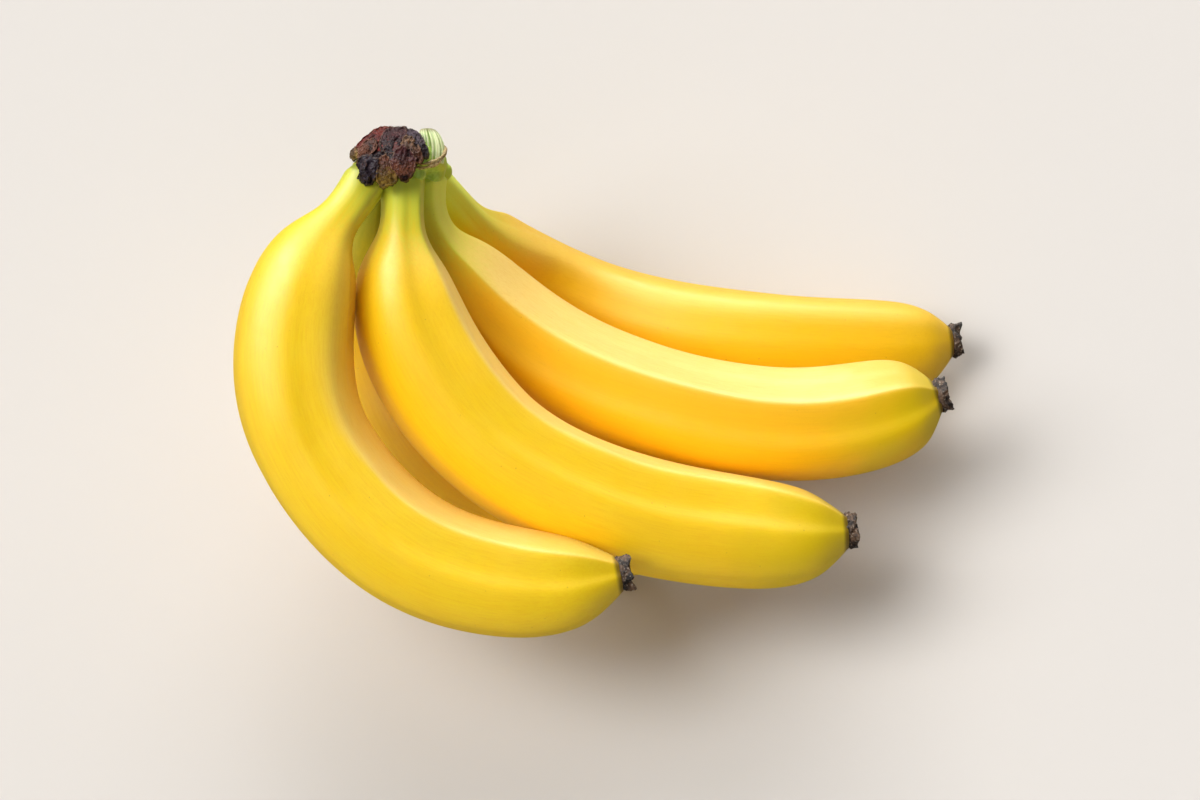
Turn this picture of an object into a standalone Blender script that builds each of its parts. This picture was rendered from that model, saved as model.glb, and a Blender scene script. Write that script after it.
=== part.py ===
"""A hand of five bananas on one cut crown, lying on its side.

The hand is drawn as the eye meets it: X to the right, Y away, Z up, in millimetres from the middle of the crown.
One empty then lays it on the ground plane and turns millimetres into metres.
"""

import math
import random

import bmesh
import bpy
import numpy as np
from mathutils import Vector

OBJECT_NAME = "banana_bunch"
MM = 0.001
GAP = 0.3

# How the hand lies: leaned back about X until it rests on the two far fingers, and where the crown then is
LEAN_DEGREES = -67.2
CROWN_PLACE = (-68.26, 65.15, 105.1)

# Fingers: the middle line from the crown to the blossom end, the largest radius, the turn of the section about
# that line toward the viewer in degrees, and how drawn out the neck and the tip are
FINGERS = {
    "banana_1": (
        ((-10.7, -8.3, -6.5), (-15.4, -12.5, -14), (-23, -16, -25), (-29.2, -17, -42.3), (-31.5, -18, -60),
         (-28.5, -19, -80), (-16, -20, -102), (4, -21, -120), (30, -21, -129.5), (54, -22, -131),
         (69.4, -22, -128.6)),
        19.6, 12.0, 1.0, 1.6,
    ),
    "banana_2": (
        ((1.5, -4, -5), (1.5, -4, -17), (1.5, -4, -30), (5.5, -3, -51), (16.5, -3, -71.5), (35, -3, -90.5),
         (58, -2, -103), (83, 0, -111), (109, 1, -115), (130, 0, -116.6), (141.5, 0, -116)),
        20.4, 0.0, 1.0, 1.3,
    ),
    "banana_3": (
        ((7.5, 8, -4), (7.5, 10, -12), (10, 13.3, -21), (16.5, 20.5, -32), (29, 28.5, -47), (49, 29.5, -62),
         (74, 26, -73), (101, 23, -80), (127, 22, -82.5), (149, 22, -80), (164, 22, -76), (172.5, 22, -73.5)),
        19.0, 26.0, 1.25, 0.88,
    ),
    "banana_4": (
        ((8.5, 20.5, -3), (16, 30, -11), (26, 49, -23), (39, 69.5, -33), (58, 75.5, -42.3), (91, 70, -51.5),
         (120, 67, -55), (146, 69.7, -56.5), (168, 72.7, -56), (182, 73.7, -54.5)),
        19.0, 10.0, 1.35, 1.0,
    ),
    "banana_5": (
        ((-6, 9.5, -6), (-8, 15, -13), (-10, 30, -25), (-11, 46, -40), (-8, 53, -57), (0, 53, -78), (14, 52, -97),
         (36, 48.5, -109), (66, 43, -115), (96, 39, -116)),
        18.6, 0.0, 1.0, 1.2,
    ),
}
RINGS = 38
SOCKET_RINGS = 10
RING_CROWDING = 0.6

# Share of the largest radius by distance from the crown, and by distance from the blossom end
NECK_PROFILE = ((0, 0.35), (10, 0.335), (17, 0.39), (26, 0.65), (37, 0.88), (52, 0.99), (90, 1.0))
TIP_PROFILE = ((0, 0.30), (2.5, 0.46), (6, 0.65), (13, 0.85), (22, 0.945), (36, 0.99), (60, 1.0))
NECK_DEEPER = 0.08

# The five ridges of the peel, in degrees from the hollow side, and how square the section is between them: on the
# body, and at the two ends, where the radius is under these shares of the largest
RIDGES = (-110.0, -42.0, 42.0, 110.0, 180.0)
RIDGE_FLANK = 10.0
BODY_SQUARENESS = 6.5
END_SQUARENESS = 7.5
BODY_SHARE = 0.9
END_SHARE = 0.4

# Crown: its middle, half sizes and how boxy it is
CROWN_CENTRE = (0.3, 4.0, 0.0)
CROWN_HALF = (14.5, 22.0, 9.0)
CROWN_POWER = 2.5

# The cut stub at its right: the middles of its foot and top, its half width, and its lengthwise grooves
STUB_FOOT = (10.0, -2.0, 0.0)
STUB_TOP = (8.8, -2.0, 11.5)
STUB_RADIUS = 4.6
STUB_DEEPER = 1.5
STUB_GROOVES = 14
STUB_GROOVE_DEPTH = 0.45
STUB_COLUMNS = 48

# The scar: where it faces from the crown's middle, how far it spreads in radians, and its rings. Its outline has
# lobes of these counts, and its outer face has this many low bumps
SCAR_AIM = (-0.45, -0.8, 0.6)
SCAR_SPREAD = 1.1
SCAR_THICKNESS = 3.0
SCAR_THIN_EDGE = 0.35
SCAR_GAP = 0.6
SCAR_COLUMNS = 36
SCAR_SHARES = (0.1, 0.25, 0.4, 0.54, 0.67, 0.79, 0.9, 0.97)
SCAR_LOBES = (3, 5, 8, 13)
SCAR_BUMPS = 6

# Blossom ends: distance from the finger's tip and share of the radius, out along the side and then into the dish
BLOSSOM_RADIUS = 5.5
BLOSSOM_PROFILE = ((GAP, 0.93), (1.2, 1.04), (2.6, 0.94), (3.8, 0.98), (4.5, 0.82), (3.6, 0.4))
BLOSSOM_COLUMNS = 14

# Colours and roughness
PEEL = ((0.95, 0.66, 0.07), 0.45)
DRY_BLOSSOM = ((0.06, 0.045, 0.035), 0.9)
GREEN_STALK = ((0.42, 0.52, 0.12), 0.5)
DRIED_CUT = ((0.14, 0.06, 0.03), 0.85)


def natural_cubic(knots, values, at):
    """The natural cubic spline through values at knots, and its slope, at the places asked."""
    knots = np.asarray(knots, float)
    values = np.asarray(values, float).reshape(len(knots), -1)
    steps = np.diff(knots)[:, None]
    slopes = np.diff(values, axis=0) / steps
    count = len(knots)
    system = np.eye(count)
    bends = np.zeros_like(values)
    for i in range(1, count - 1):
        system[i, i - 1] = steps[i - 1, 0]
        system[i, i] = 2 * (steps[i - 1, 0] + steps[i, 0])
        system[i, i + 1] = steps[i, 0]
        bends[i] = 6 * (slopes[i] - slopes[i - 1])
    bends = np.linalg.solve(system, bends)
    span = np.clip(np.searchsorted(knots, at, side="right") - 1, 0, count - 2)
    h = steps[span]
    a = (knots[span + 1] - at)[:, None]
    b = (at - knots[span])[:, None]
    low = bends[span]
    high = bends[span + 1]
    point = (low * a**3 + high * b**3) / (6 * h)
    point += (values[span] / h - low * h / 6) * a + (values[span + 1] / h - high * h / 6) * b
    slope = (high * b**2 - low * a**2) / (2 * h) + slopes[span] - h * (high - low) / 6
    return point, slope


def middle_line(path, count):
    """Points and directions along a finger, closer together at both ends, with their distance from the crown."""
    path = np.asarray(path, float)
    knots = np.concatenate([[0], np.cumsum(np.linalg.norm(np.diff(path, axis=0), axis=1))])
    t = np.linspace(0, 1, count)
    at = (t - RING_CROWDING * np.sin(2 * np.pi * t) / (2 * np.pi)) * knots[-1]
    point, slope = natural_cubic(knots, path, at)
    return point, slope / np.linalg.norm(slope, axis=1)[:, None], at


def radius_share(at, length, neck, tip):
    """The share of the largest radius at each distance from the crown."""
    result = np.ones(len(at))
    for profile, distance in ((NECK_PROFILE, at / neck), (TIP_PROFILE, (length - at) / tip)):
        knots, shares = zip(*profile)
        near = np.minimum(distance, knots[-1])
        result *= natural_cubic(knots, shares, near)[0][:, 0]
    return result


def section(angles, squareness):
    """A rounded five-sided outline that reaches radius 1 at the ridges, at the angles asked in radians."""
    ridges = np.radians(RIDGES)
    following = np.append(ridges[1:], ridges[0] + 2 * np.pi)
    total = np.zeros_like(angles)
    for start, end in zip(ridges, following):
        half = (end - start) / 2
        facing = np.maximum(0, np.cos(angles - (start + end) / 2)) / math.cos(half)
        total += facing**squareness
    return (total / 2) ** (-1 / squareness)


def column_angles():
    """A column on each ridge, one on each flank of it and one in the middle of each face."""
    found = []
    for start, end in zip(RIDGES, RIDGES[1:] + (RIDGES[0] + 360,)):
        found += [start, start + RIDGE_FLANK, (start + end) / 2, end - RIDGE_FLANK]
    return np.radians(found)


def finger_rings(path, radius, roll, neck, tip, grow=0.0):
    """The sections of a finger as points, ring by ring."""
    point, along, at = middle_line(path, RINGS)
    point[0] -= along[0] * grow
    length = at[-1]
    away = np.array((0.0, 1.0, 0.0))
    side = away - along * (along @ away)[:, None]
    side /= np.linalg.norm(side, axis=1)[:, None]
    hollow = np.cross(along, side)
    columns = column_angles()
    turned = columns + math.radians(roll)
    share = radius_share(at, length, neck, tip)
    near_end = np.clip((BODY_SHARE - share) / (BODY_SHARE - END_SHARE), 0, 1)
    near_neck = near_end * (at < length / 2)
    rings = []
    for i in range(RINGS):
        squareness = BODY_SQUARENESS + (END_SQUARENESS - BODY_SQUARENESS) * near_end[i]
        reach = radius * share[i] * section(columns, squareness) + grow
        inward = reach * np.cos(turned) * (1 + NECK_DEEPER * near_neck[i])
        sideways = reach * np.sin(turned) * (1 - NECK_DEEPER * near_neck[i])
        rings.append(point[i] + inward[:, None] * hollow[i] - sideways[:, None] * side[i])
    return np.array(rings)


def loft(name, rings):
    """A closed body through rings of points, with a flat face at each end."""
    bm = bmesh.new()
    rows = [[bm.verts.new(Vector(p)) for p in ring] for ring in rings]
    columns = len(rows[0])
    for near, far in zip(rows, rows[1:]):
        for j in range(columns):
            k = (j + 1) % columns
            bm.faces.new((near[j], near[k], far[k], far[j]))
    bm.faces.new(rows[0])
    bm.faces.new(rows[-1])
    bmesh.ops.recalc_face_normals(bm, faces=bm.faces)
    mesh = bpy.data.meshes.new(name)
    bm.to_mesh(mesh)
    bm.free()
    mesh.shade_smooth()
    return bpy.data.objects.new(name, mesh)


def crown_reach(direction):
    """Distance from the crown's middle to its skin in a direction."""
    unit = Vector(direction).normalized()
    total = sum(abs(u / half) ** CROWN_POWER for u, half in zip(unit, CROWN_HALF))
    return total ** (-1 / CROWN_POWER)


def boolean(obj, other, operation):
    """Adds a Boolean with an object that then stays out of the render."""
    step = obj.modifiers.new(operation.title(), "BOOLEAN")
    step.operation = operation
    step.solver = "EXACT"
    step.object = other


def cutter(obj, cutters, parent=None):
    """Files a helper body with the cutters, out of the render."""
    cutters.objects.link(obj)
    obj.hide_render = True
    obj.display_type = "WIRE"
    obj.parent = parent
    return obj


def crown_cushion():
    """The rounded green cushion that the necks grow from, before the necks are cut out of it."""
    bm = bmesh.new()
    bmesh.ops.create_icosphere(bm, subdivisions=4, radius=1)
    for vertex in bm.verts:
        vertex.co = Vector(CROWN_CENTRE) + vertex.co.normalized() * crown_reach(vertex.co)
    mesh = bpy.data.meshes.new("crown")
    bm.to_mesh(mesh)
    bm.free()
    mesh.shade_smooth()
    return bpy.data.objects.new("crown", mesh)


def ground():
    """The block under the ground plane that flattens the places the hand rests on."""
    bm = bmesh.new()
    bmesh.ops.create_cube(bm, size=1)
    mesh = bpy.data.meshes.new("ground")
    bm.to_mesh(mesh)
    bm.free()
    obj = bpy.data.objects.new("ground", mesh)
    obj.scale.z = 0.1
    obj.location.z = -0.05
    return obj


def crown_stub():
    """The short grooved piece of cut stalk at the right of the crown."""
    turn = np.linspace(0, 2 * np.pi, STUB_COLUMNS, endpoint=False)
    groove = 1 + STUB_GROOVE_DEPTH / STUB_RADIUS * np.cos(STUB_GROOVES * turn)
    rings = []
    for height, share in ((0.0, 0.9), (0.35, 1.0), (0.9, 0.97), (1.0, 0.9)):
        centre = np.array(STUB_FOOT) + height * (np.array(STUB_TOP) - np.array(STUB_FOOT))
        across = STUB_RADIUS * share * groove
        flat = np.stack([across * np.cos(turn), STUB_DEEPER * across * np.sin(turn), 0 * turn], axis=1)
        rings.append(centre + flat)
    return loft("stub", rings)


def scar(name, grow=0.0):
    """The dried crust over the cut face: a ragged plate that follows the crown's skin."""
    rnd = random.Random(7)
    turn_to_aim = Vector((0, 0, 1)).rotation_difference(Vector(SCAR_AIM))
    wider = 1 + grow / max(CROWN_HALF)
    lobes = [(rnd.uniform(0.02, 0.05), count, rnd.uniform(0, 6.28)) for count in SCAR_LOBES]
    bumps = []
    for _ in range(SCAR_BUMPS):
        bumps.append((rnd.uniform(0.15, 0.35), rnd.randint(2, 9), rnd.uniform(0, 6.28), rnd.uniform(2, 7)))

    def ring(share, height):
        """Points round the plate at a share of the way to its edge and a height above the crown's skin."""
        points = []
        for i in range(SCAR_COLUMNS):
            turn = 2 * math.pi * i / SCAR_COLUMNS
            edge = SCAR_SPREAD * (1 + sum(a * math.sin(k * turn + p) for a, k, p in lobes))
            tilt = share * wider * edge
            unit = Vector((math.sin(tilt) * math.cos(turn), math.sin(tilt) * math.sin(turn), math.cos(tilt)))
            unit.rotate(turn_to_aim)
            points.append(Vector(CROWN_CENTRE) + unit * (crown_reach(unit) + height(turn)))
        return points

    def outer(share):
        """Height of the rough outer face round the plate at a share of the way to its edge."""
        thick = SCAR_GAP + SCAR_THICKNESS * (1 - SCAR_THIN_EDGE * share**4) + grow
        return lambda turn: thick + sum(a * math.sin(k * turn + p) * math.sin(w * share) for a, k, p, w in bumps)

    rings = [ring(share, lambda turn: SCAR_GAP - 4 * grow) for share in SCAR_SHARES]
    rings.append(ring(1.0, lambda turn: SCAR_GAP + 0.4 + grow))
    rings += [ring(share, outer(share)) for share in reversed(SCAR_SHARES)]
    return loft(name, rings)


def blossom_end(name, path, seed):
    """The dry remains of the flower on a finger's tip: a short crooked stub with a dished end."""
    rnd = random.Random(seed)
    point, along, _ = middle_line(path, RINGS)
    first = np.cross(along[-1], (0.0, 1.0, 0.0))
    first /= np.linalg.norm(first)
    second = np.cross(along[-1], first)
    uneven = [rnd.uniform(-0.09, 0.09) for _ in range(BLOSSOM_COLUMNS)]
    rings = []
    for distance, share in BLOSSOM_PROFILE:
        ring = []
        for j in range(BLOSSOM_COLUMNS):
            turn = 2 * math.pi * j / BLOSSOM_COLUMNS
            reach = BLOSSOM_RADIUS * share * (1 + uneven[j] * min(1.0, distance / 2))
            rise = distance + (0.5 * math.sin(3 * turn + seed) if distance > 3 else 0)
            around = math.cos(turn) * first + math.sin(turn) * second
            ring.append(point[-1] + along[-1] * rise + reach * around)
        rings.append(ring)
    return loft(name, rings)


def material(name, colour, roughness):
    result = bpy.data.materials.new(name)
    result.use_nodes = True
    shader = result.node_tree.nodes["Principled BSDF"]
    shader.inputs["Base Color"].default_value = (*colour, 1)
    shader.inputs["Roughness"].default_value = roughness
    shader.inputs["Metallic"].default_value = 0.0
    return result


def clear_scene():
    for obj in list(bpy.data.objects):
        bpy.data.objects.remove(obj, do_unlink=True)


def new_collection(name):
    collection = bpy.data.collections.new(name)
    bpy.context.scene.collection.children.link(collection)
    return collection


def laid_down(parts):
    """The empty that turns the upright hand in millimetres into the one that lies on the ground in metres."""
    empty = bpy.data.objects.new("laid_down", None)
    parts.objects.link(empty)
    empty.scale = (MM, MM, MM)
    empty.rotation_euler.x = math.radians(LEAN_DEGREES)
    empty.location = [value * MM for value in CROWN_PLACE]
    return empty


def main():
    clear_scene()
    parts = new_collection(OBJECT_NAME)
    cutters = new_collection("cutters")
    laid = laid_down(parts)
    flat = cutter(ground(), cutters)
    peel = material("peel", *PEEL)
    dry = material("dry_blossom", *DRY_BLOSSOM)

    def place(obj, look):
        parts.objects.link(obj)
        obj.parent = laid
        obj.data.materials.append(look)
        return obj

    crown = place(crown_cushion(), material("green_stalk", *GREEN_STALK))
    stub = cutter(crown_stub(), cutters, laid)
    boolean(stub, cutter(scar("scar_bed", GAP), cutters, laid), "DIFFERENCE")
    boolean(crown, stub, "UNION")
    crust = place(scar("crown_scar"), material("dried_cut", *DRIED_CUT))

    for number, (name, form) in enumerate(FINGERS.items(), 1):
        finger = place(loft(name, finger_rings(*form)), peel)
        boolean(finger, flat, "DIFFERENCE")
        socket = loft("socket_" + name, finger_rings(*form, grow=GAP)[:SOCKET_RINGS])
        boolean(crown, cutter(socket, cutters, laid), "DIFFERENCE")
        if name == "banana_1":
            boolean(crust, socket, "DIFFERENCE")
        place(blossom_end(f"blossom_end_{number}", form[0], number), dry)


main()
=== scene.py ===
import math
import random

import bmesh
import bpy
import numpy as np
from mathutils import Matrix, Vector, noise


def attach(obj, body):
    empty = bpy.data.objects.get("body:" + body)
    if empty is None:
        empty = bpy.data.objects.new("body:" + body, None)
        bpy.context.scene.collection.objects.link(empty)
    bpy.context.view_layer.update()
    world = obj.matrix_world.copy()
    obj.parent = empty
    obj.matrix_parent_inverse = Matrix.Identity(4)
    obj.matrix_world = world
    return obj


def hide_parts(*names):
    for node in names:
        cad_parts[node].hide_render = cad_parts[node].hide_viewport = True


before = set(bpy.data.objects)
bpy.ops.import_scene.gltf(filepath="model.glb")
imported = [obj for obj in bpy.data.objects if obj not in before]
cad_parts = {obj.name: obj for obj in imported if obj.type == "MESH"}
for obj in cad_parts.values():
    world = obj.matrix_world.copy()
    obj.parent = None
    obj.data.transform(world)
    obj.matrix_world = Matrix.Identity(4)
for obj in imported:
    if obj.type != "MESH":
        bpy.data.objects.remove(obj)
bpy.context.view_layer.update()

# noise_vector takes its offsets from this seed, and from the time of day without one
noise.seed_set(1)

MM = 0.001
LEAN_DEGREES = -67.2
CROWN_PLACE = (-68.26, 65.15, 105.1)

# The fingers: middle line, largest radius, turn of the section in degrees, and how far the tapers of the neck
# and the tip are drawn out. Then the near ridge's squareness towards the crown and the tip, how far the top
# is drawn out, the neck's green, its lightness and its reach, how orange the peel is and how olive the tip.
# The neck's lightness is painted light and shade: darker on banana_5, whose neck lies in shade, and lighter
# on banana_2, banana_3 and banana_4, whose necks lie in the shade of the crown and of their neighbours
FINGERS = {
    "banana_1": dict(
        path=(
            (-10.7, -8.3, -6.5), (-15.4, -12.5, -14), (-23, -16, -25), (-29.2, -17, -42.3),
            (-31.5, -18, -60), (-28.5, -19, -80), (-16, -20, -102), (4, -21, -120),
            (30, -21, -129.5), (54, -22, -131), (69.4, -22, -128.6),
        ),
        radius=19.6, roll=12, neck=1, tip=1.6, crisp=(4.5, 10), top=2.1,
        green=0.65, tone=0.5, green_reach=30, orange=0, olive=0.4,
    ),
    "banana_2": dict(
        path=(
            (1.5, -4, -5), (1.5, -4, -17), (1.5, -4, -30), (5.5, -3, -51),
            (16.5, -3, -71.5), (35, -3, -90.5), (58, -2, -103), (83, 0, -111),
            (109, 1, -115), (130, 0, -116.6), (141.5, 0, -116),
        ),
        radius=20.4, roll=4, neck=1, tip=1.3, crisp=(8.5, 10.5), top=1,
        green=0.9, tone=0.7, green_reach=32, orange=0.15, olive=0.7,
    ),
    "banana_3": dict(
        path=(
            (7.5, 8, -4), (7.5, 10, -12), (10, 13.3, -21), (16.5, 20.5, -32),
            (29, 28.5, -47), (49, 29.5, -62), (74, 26, -73), (101, 23, -80),
            (127, 22, -82.5), (149, 22, -80), (164, 22, -76), (172.5, 22, -73.5),
        ),
        radius=19, roll=26, neck=1.25, tip=0.88, crisp=(8.5, 11), top=1,
        green=1, tone=1, green_reach=44, orange=1, olive=0.75,
    ),
    "banana_4": dict(
        path=(
            (8.5, 20.5, -3), (16, 30, -11), (26, 49, -23), (39, 69.5, -33),
            (58, 75.5, -42.3), (91, 70, -51.5), (120, 67, -55), (146, 69.7, -56.5),
            (168, 72.7, -56), (182, 73.7, -54.5),
        ),
        radius=19, roll=10, neck=1.55, tip=1, crisp=(5, 4.6), top=1.7,
        green=1, tone=1, green_reach=52, orange=0.7, olive=0.1,
    ),
    "banana_5": dict(
        path=(
            (-6, 9.5, -6), (-8, 15, -13), (-10, 30, -25), (-11, 46, -40),
            (-8, 53, -57), (0, 53, -78), (14, 52, -97), (36, 48.5, -109),
            (66, 43, -115), (96, 39, -116),
        ),
        radius=18.6, roll=0, neck=1, tip=1.2, crisp=(7, 7), top=1,
        green=1, tone=0, green_reach=66, orange=0.4, olive=0.7,
    ),
}
# The rings that close each end: the share to which each has shrunk, and how far along it lies in mm
NECK_TOP = ((0.22, -3.3), (0.45, -3.1), (0.66, -2.6), (0.81, -2), (0.92, -1.2), (0.98, -0.5))
TIP_LIP = ((0.97, 0.35), (0.9, 0.55), (0.8, 0.35), (0.72, -0.4), (0.6, -1.2))
TIP_DIMPLE = 1
# The radius as a share of the largest, by distance in mm from the neck's and from the tip's end
NECK_PROFILE = ((0, 0.35), (10, 0.335), (17, 0.39), (26, 0.65), (37, 0.88), (52, 0.99), (90, 1))
TIP_PROFILE = ((0, 0.30), (2.5, 0.46), (6, 0.65), (13, 0.85), (22, 0.945), (36, 0.99), (60, 1))
# A neck's section is made deeper and narrower by this share each, wholly so under END_SHARE of the largest
# radius and not at all over BODY_SHARE
NECK_DEEPER = 0.08
BODY_SHARE = 0.9
END_SHARE = 0.4
# Angles of the ridges from the hollow side, turning to the viewer, and how square the section is at each. For
# the near one each finger has its own, which changes between two shares of its length
RIDGES = (-110, -42, 42, 110, 180)
RIDGE_SQUARENESS = (6.5, 7.5, None, 3.3, 4.2)
RIDGE_SPAN = 24
CRISP_FROM_TO = (0.25, 0.65)
# Squareness at which a ridge has no crest and no clear edge, and how much more gives it a full one
PLAIN_SQUARENESS = 4.5
CREST_SQUARENESS = 4
# The cosines of the angle between which the hollow side's pale colour starts, how much a rounded ridge widens
# that edge, and the share of the pale colour that a rounded ridge leaves. The pale colour is partly the
# hollow side's own paler peel and partly a painted highlight on the facets turned to the light
PALE_EDGE = (0.70, 0.765)
PALE_BLUR = (0.4, 0.2)
PALE_LEAST = 0.3
# Crests and unevenness of the peel in mm, with the crest's width and rounding and the twist in radians, the
# radius shares between which they fade in, and the count and the lengths of the waves that vary them
CREST_HEIGHT = 0.5
CREST_WIDTH = 0.10
CREST_ROUNDING = 0.02
CREST_STRENGTH = (0.75, 0.35)
TWIST = 0.025
SWELL = 0.06
SUNK = 0.12
FADE_IN = (0.3, 0.55)
TWIST_WAVES = (3, 60, 200)
CREST_WAVES = (3, 25, 140)
SWELL_WAVES = (2, 25, 90)

# The crown's cushion, and the swellings where the necks run into it: place and radius
CROWN_CENTRE = (0.3, 4, 0)
CROWN_HALF = (14.5, 22, 9)
CROWN_POWER = 2.5
CROWN_INSET = 0.2
CROWN_KNUCKLES = (
    (6.4, -7.6, -3.4, 2.3), (11.4, 1.4, -2.4, 3), (13, 11, -1.4, 3.2), (-11.6, -6, -1.2, 3.2),
)
# Below its middle the cushion is thinner, and its near side is drawn back, by a share on the left and so much
# more on the right
CROWN_THIN_BELOW = 0.55
DRAWN_BACK = (0.38, 0.34)
BACK_ACROSS = (3, 9)
BACK_DOWN = -3.5
# The crown has the green of a neck this far above its start, but paler at both ends: by how much, and between
# which places across. It has at least the least green right of the last place
ABOVE_NECKS = 3
PALER_ENDS = ((7, -8, -12), (4, 11, 15))
LEAST_GREEN = (0.95, -12, -7)
NECK_START = 16
CROWN_LUMPS = 0.4
LUMPS_RISE = (-4, 2)

# The stub: width by height, and the depth of its grooves and how much of it lies inside
STUB_FOOT = (9.6, -6.5, 0)
STUB_TOP = (8.9, -3, 11.3)
STUB_BOW = 0.9
STUB_RADIUS = 4.3
STUB_DEEPER = 1.5
STUB_TAPER = ((0, 1), (0.3, 0.98), (0.6, 0.88), (0.82, 0.74), (0.92, 0.62), (0.975, 0.48), (1, 0.3))
STUB_GROOVES = 14
GROOVE_DEPTH = 0.55
GROOVE_INSIDE = 0.28

# The rings of dry skin round the stub's foot: how they rise to the right and to the back, widen upward, and
# waver sideways and in height
RIM_CENTRE = (9.8, -6.2, 2.4)
RIM_HALF = (4.7, 8.6)
RIM_RISES = (1.2, 3.5)
RIM_FLARE = 0.3
RIM_WAVER = (0.2, 0.35)

# The blossom ends: radius, and from the foot to the middle the share of the way, of the radius, and the rise
BLOSSOM_RADIUS = 5.5
BLOSSOM_PROFILE = (
    (0, 0.8, -0.8), (0.12, 0.93, 0.1), (0.35, 1.02, 1.2), (0.55, 0.96, 2.5),
    (0.7, 0.96, 3.3), (0.82, 0.8, 3.7), (0.92, 0.45, 3), (1, 0.08, 2.6),
)
BLOSSOM_FOOT = 0.8

# The plate on the cut: its middle direction, its spread from there in radians, the height at which its
# outline is found, and the heights of its middle and its underside
SCAR_AIM = (-0.45, -0.8, 0.6)
SCAR_SPREAD = 1.1
PLATE_LIFT = 2
PLATE_TOP = 2.4
PLATE_UNDER = 0.1
# The torn lobes on it: how much larger than drawn, how ragged and how thick
LOBE_LARGER = 1.1
LOBE_RAGGED = 0.55
LOBE_THICK = 0.9
# How a lobe rolls back beyond the crown's outline
ROLL_FROM = 0.92
ROLL_BACK = 7
LEAST_DEPTH = 0.08
# The skin's torn border, and its paler lip, as shares of the way out
TORN_BORDER = (0.93, 1.0)
LIP_AT = 0.9
# The ridged noise that folds the skin
FOLDS = (0.9, 2.1, 5, 1.0, 2.0)

# Linear colours of the crust
MAROON = (0.19, 0.022, 0.014)
BLACKENED = (0.014, 0.007, 0.010)
CHARRED = (0.035, 0.024, 0.036)
UMBER = (0.17, 0.060, 0.032)
OCHRE = (0.22, 0.112, 0.052)
OLIVE = (0.30, 0.19, 0.04)
PLUM = (0.075, 0.018, 0.022)
ASH = (0.10, 0.068, 0.094)

# The crust's outline in the picture, in millimetres right and up from the crown's middle
SCAB_OUTLINE = (
    (-5.6, 11.6), (0.8, 11.6), (5.2, 10.4), (8.4, 6.7), (9.2, 2.5), (7.2, 0.2), (5.2, -2.5), (3.4, -5),
    (-0.4, -5.4), (-4.5, -7.2), (-6.2, -5.2), (-10.4, -7.2), (-11.8, -3.6), (-11.4, 0.2), (-13.6, 1.4),
    (-13.2, 4.2), (-9, 9.6),
)
# Its lobes of dried skin: each outline, how high the lobe lies, how far its middle bulges, how strongly it is
# wrinkled, and its colour above and below
SCAB_LOBES = (
    (((-6, 12), (-2.5, 12), (-4.4, 8.4), (-6.5, 5.2), (-9.5, 4.6), (-13.4, 4.9), (-11.6, 7.4), (-9, 10.4)),
     1.7, 0.5, 1, MAROON, MAROON),
    (((-3, 11.8), (2, 11.6), (3.4, 8), (2.2, 4.8), (-0.5, 2.4), (-3.4, 2), (-5.4, 4.2), (-5.2, 8.2)),
     1.9, 0.5, 1.4, PLUM, BLACKENED),
    (((-12.2, 4.2), (-9.8, 6.9), (-7.1, 7.4), (-6, 5), (-7, 2.6), (-9.8, 1), (-12.3, 1.2)),
     2.4, 0.9, 0.9, UMBER, UMBER),
    (((-15.1, 3.7), (-13.6, 4.9), (-11.8, 3.4), (-11.9, 1.2), (-14.1, 0.6), (-15.4, 2)),
     2.2, 1, 0.6, OCHRE, OLIVE),
    (((1.6, 11.6), (4.6, 10.9), (6.4, 9.8), (8.4, 6.8), (9.9, 2.8), (9.7, 0.9), (7.9, 1.2), (6, 5.3),
      (3.2, 8.6)),
     1.9, 0.5, 1.1, ASH, BLACKENED),
    (((2.4, 8.3), (4.9, 7.6), (6.9, 4.8), (8.4, 1.2), (7.2, -0.8), (5.2, -0.6), (2.7, 1.8), (1.5, 5.2)),
     2.3, 0.7, 0.9, OCHRE, UMBER),
    (((-12, 0.8), (-10.5, 1.8), (-8, 1.8), (-5.6, 0), (-5.5, -3.6), (-7.6, -6.8), (-9.7, -7.4), (-11, -9),
      (-12.3, -8.4), (-12.8, -5.2), (-11.6, -3.1), (-12.6, -1.2)),
     2.7, 0.8, 2.4, CHARRED, CHARRED),
    (((-5.4, 0.6), (-3.2, 1.7), (-1.2, 0.1), (0.1, -2.6), (0.3, -5.4), (-0.6, -7), (-4, -8.2), (-5.5, -7.8),
      (-6.2, -4.6)),
     3, 0.8, 1.1, UMBER, OLIVE),
    (((-2, 0), (0, 3.4), (2, 4.9), (4.3, 3.3), (6.2, 0.8), (5.6, -2.6), (4.6, -4.6), (3.2, -6.2), (1.3, -6.2),
      (0.2, -4), (-1.4, -2.4)),
     3.3, 0.8, 1.3, PLUM, UMBER),
    (((2, -4.8), (3.2, -4.6), (3.7, -5.6), (2.8, -6.6), (1.5, -6.3)), 3.9, 0.6, 0.8, BLACKENED, BLACKENED),
)

# Wide lights: azimuth, elevation and apparent width in degrees, strength, colour, and whether matt and glossy
# reflection see them, which both do where nothing is said
LIGHTS = (
    ("key_left", 190, 51, 30, 1.5, (1, 0.99, 0.96), True, False),
    ("key_high", 184, 64, 28, 1.15, (1, 0.99, 0.96), True, False),
    ("back_low", 90, 14, 28, 1.9, (1, 0.985, 0.955)),
    ("back_high", 84, 42, 34, 1, (1, 0.985, 0.955)),
    ("back_right", 50, 30, 36, 0.3, (1, 0.985, 0.955)),
    ("front_fill", 258, 40, 54, 0.5, (1, 0.985, 0.96), True, False),
    ("sheen", 158, 36, 56, 5.5, (1, 1, 1), False, True),
    ("shoulder_sheen", 128, 38, 34, 3.2, (1, 1, 1), False, True),
)

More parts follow.
